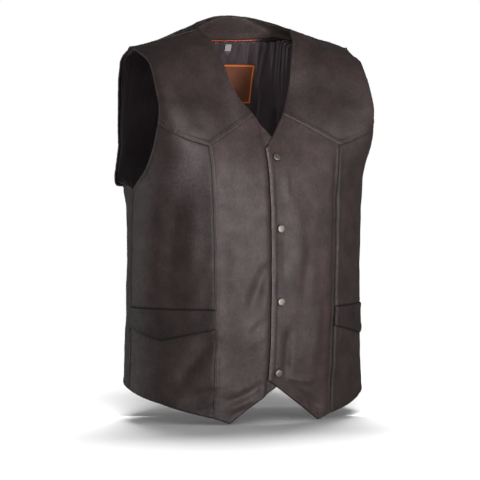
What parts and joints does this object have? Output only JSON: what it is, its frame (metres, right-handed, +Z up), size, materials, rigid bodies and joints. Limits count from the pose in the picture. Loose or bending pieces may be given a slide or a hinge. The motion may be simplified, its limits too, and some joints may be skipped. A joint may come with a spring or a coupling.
{
  "type": "biker vest",
  "caption": "Sleeveless leather biker vest, hollow as worn, with V neck, front yokes, princess seams, welt pockets, pointed hem and closed snaps.",
  "frame": {"origin": "on the middle plane at shoulder height, where the wearer's shoulders hold the vest", "axes": "+Z up, -Y the way the wearer faces, +X the wearer's left"},
  "size_m": [0.413, 0.2761, 0.6647],
  "materials": {
    "leather": "satin, fine pebble grain",
    "lining": "satin",
    "piping": "satin cord",
    "label": "woven, matte",
    "tab": "woven, matte",
    "snap": "antique dark nickel"
  },
  "bodies": {
    "root": {"back": "leather", "yoke_left": "leather", "yoke_right": "leather", "front_centre_left": "leather", "front_centre_right": "leather", "front_side_left": "leather", "front_side_right": "leather", "pocket_front_left": "leather", "pocket_front_right": "leather", "pocket_welt_left": "leather", "pocket_welt_right": "leather", "neck_facing": "leather", "neck_piping": "piping", "lining_back": "lining", "lining_left": "lining", "lining_right": "lining", "label": "label", "size_tab": "tab", "snap_1": "snap", "snap_2": "snap", "snap_3": "snap", "snap_4": "snap"}
  },
  "joints": []
}
